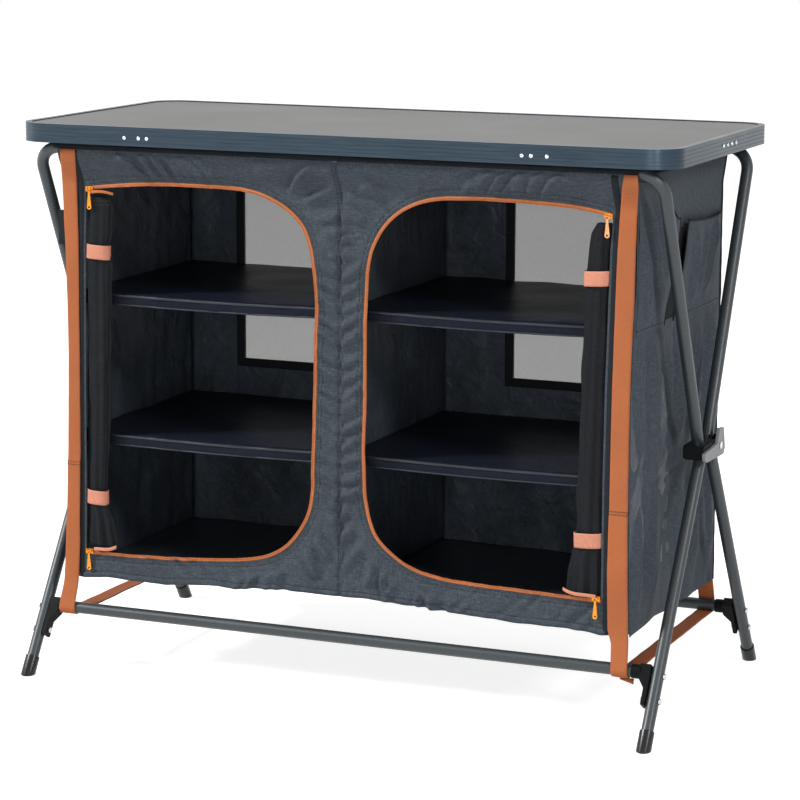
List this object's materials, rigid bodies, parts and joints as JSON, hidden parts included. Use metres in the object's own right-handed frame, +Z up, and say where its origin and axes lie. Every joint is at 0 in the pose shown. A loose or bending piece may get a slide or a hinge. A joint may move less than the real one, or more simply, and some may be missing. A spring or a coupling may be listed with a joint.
{
  "type": "camping cupboard",
  "caption": "Folding camping cupboard: cloth cabinet with zipped doors rolled aside, shelves, end pockets and a rimmed benchtop on a folding tube frame.",
  "frame": {"origin": "centre of the footprint, on the floor", "axes": "+X along the benchtop to the right end with the pockets, -Y the front with the doors, +Z up"},
  "size_m": [1.1028, 0.5922, 0.9],
  "materials": {
    "powder_coated_steel": "satin",
    "black_plastic": "satin",
    "foot_rubber": "gloss",
    "zinc_steel": "satin",
    "grey_plastic": "satin",
    "rim_aluminium": "satin",
    "laminate_board": "satin",
    "batten_wood": "matte",
    "cabinet_polyester": "matte",
    "shelf_cover": "satin",
    "window_mesh": "matte",
    "webbing": "matte",
    "brass": "satin"
  },
  "bodies": {
    "cabinet": {"hub_left": "black_plastic", "hub_right": "black_plastic", "hub_pins": "zinc_steel", "front_panel_left": "cabinet_polyester", "front_panel_right": "cabinet_polyester", "back_panel": "cabinet_polyester", "end_panel_left": "cabinet_polyester", "end_panel_right": "cabinet_polyester", "divider_panel": "cabinet_polyester", "roof_panel": "cabinet_polyester", "floor_panel": "cabinet_polyester", "window_left": "window_mesh", "window_right": "window_mesh", "shelf_left_lower": "shelf_cover", "shelf_left_upper": "shelf_cover", "shelf_right_lower": "shelf_cover", "shelf_right_upper": "shelf_cover", "floor_boards": "shelf_cover", "end_pocket_front": "cabinet_polyester", "end_pocket_rear": "cabinet_polyester", "zip_left": "webbing", "zip_right": "webbing", "door_roll_left": "cabinet_polyester", "door_roll_right": "cabinet_polyester", "roll_loops": "webbing", "strap_left": "webbing", "strap_right": "webbing", "top_sleeves": "cabinet_polyester", "side_label": "cabinet_polyester"},
    "upper_front": {"upper_frame_front": "powder_coated_steel"},
    "upper_rear": {"upper_frame_rear": "powder_coated_steel"},
    "benchtop": {"benchtop_board": "laminate_board", "benchtop_rim": "rim_aluminium", "benchtop_batten_left": "batten_wood", "benchtop_batten_right": "batten_wood", "benchtop_braces": "batten_wood", "benchtop_rivets": "zinc_steel", "bar_saddles": "black_plastic"},
    "lever_left": {"lock_lever_left": "grey_plastic"},
    "lever_right": {"lock_lever_right": "grey_plastic"},
    "lower_front": {"leg_front_left": "powder_coated_steel", "leg_front_right": "powder_coated_steel", "feet_front": "foot_rubber", "elbows_front": "black_plastic", "leg_bolts_front": "zinc_steel", "crossbar_front": "powder_coated_steel"},
    "lower_rear": {"leg_rear_left": "powder_coated_steel", "leg_rear_right": "powder_coated_steel", "feet_rear": "foot_rubber", "elbows_rear": "black_plastic", "leg_bolts_rear": "zinc_steel", "crossbar_rear": "powder_coated_steel"},
    "slider_left_top": {"zip_slider_left_top": "brass"},
    "pull_left_top": {"zip_pull_left_top": "brass"},
    "slider_left_foot": {"zip_slider_left_foot": "brass"},
    "pull_left_foot": {"zip_pull_left_foot": "brass"},
    "slider_right_top": {"zip_slider_right_top": "brass"},
    "pull_right_top": {"zip_pull_right_top": "brass"},
    "slider_right_foot": {"zip_slider_right_foot": "brass"},
    "pull_right_foot": {"zip_pull_right_foot": "brass"}
  },
  "joints": [
    {"name": "frame_fold", "type": "hinge", "parent": "cabinet", "child": "lower_front", "pos_m": [0, -0.019, 0.415], "axis": [1, 0, 0], "range_deg": [0, 30], "deforming": ["strap_left", "strap_right", "top_sleeves"]},
    {"name": "lower_rear_fold", "type": "hinge", "parent": "cabinet", "child": "lower_rear", "pos_m": [0, 0.019, 0.415], "axis": [-1, 0, 0], "range_deg": [0, 30]},
    {"name": "upper_front_fold", "type": "hinge", "parent": "cabinet", "child": "upper_front", "pos_m": [0, -0.019, 0.415], "axis": [-1, 0, 0], "range_deg": [0, 24.51]},
    {"name": "upper_rear_fold", "type": "hinge", "parent": "cabinet", "child": "upper_rear", "pos_m": [0, 0.019, 0.415], "axis": [1, 0, 0], "range_deg": [0, 24.51]},
    {"name": "benchtop_lift", "type": "slide", "parent": "cabinet", "child": "benchtop", "axis": [0, 0, 1], "range_m": [0, 0.4]},
    {"name": "lever_left_unlock", "type": "hinge", "parent": "cabinet", "child": "lever_left", "pos_m": [-0.5423, 0.019, 0.415], "axis": [-1, 0, 0], "range_deg": [0, 60]},
    {"name": "lever_right_unlock", "type": "hinge", "parent": "cabinet", "child": "lever_right", "pos_m": [0.5423, 0.019, 0.415], "axis": [-1, 0, 0], "range_deg": [0, 60]},
    {"name": "slider_left_top_slide", "type": "slide", "parent": "cabinet", "child": "slider_left_top", "axis": [0.9991, 0, 0.0421], "range_m": [0, 0.2]},
    {"name": "pull_left_top_swing", "type": "hinge", "parent": "slider_left_top", "child": "pull_left_top", "pos_m": [-0.4365, -0.2206, 0.79427], "axis": [-0.9991, 0, -0.0421], "range_deg": [0, 150]},
    {"name": "slider_left_foot_slide", "type": "slide", "parent": "cabinet", "child": "slider_left_foot", "axis": [1, 0, 0], "range_m": [0, 0.2]},
    {"name": "pull_left_foot_swing", "type": "hinge", "parent": "slider_left_foot", "child": "pull_left_foot", "pos_m": [-0.4365, -0.2206, 0.204], "axis": [-1, 0, 0], "range_deg": [0, 150]},
    {"name": "slider_right_top_slide", "type": "slide", "parent": "cabinet", "child": "slider_right_top", "axis": [-0.9991, 0, 0.0421], "range_m": [0, 0.2]},
    {"name": "pull_right_top_swing", "type": "hinge", "parent": "slider_right_top", "child": "pull_right_top", "pos_m": [0.4365, -0.2206, 0.79427], "axis": [-0.9991, 0, 0.0421], "range_deg": [0, 150]},
    {"name": "slider_right_foot_slide", "type": "slide", "parent": "cabinet", "child": "slider_right_foot", "axis": [-1, 0, 0], "range_m": [0, 0.2]},
    {"name": "pull_right_foot_swing", "type": "hinge", "parent": "slider_right_foot", "child": "pull_right_foot", "pos_m": [0.4365, -0.2206, 0.204], "axis": [-1, 0, 0], "range_deg": [0, 150]}
  ],
  "couplings": [
    {"joint": "lower_rear_fold", "follows": "frame_fold", "ratio": 1},
    {"joint": "upper_front_fold", "follows": "frame_fold", "ratio": 0.8167},
    {"joint": "upper_rear_fold", "follows": "frame_fold", "ratio": 0.8167},
    {"joint": "benchtop_lift", "follows": "frame_fold", "m_per_rad": 0.75}
  ]
}
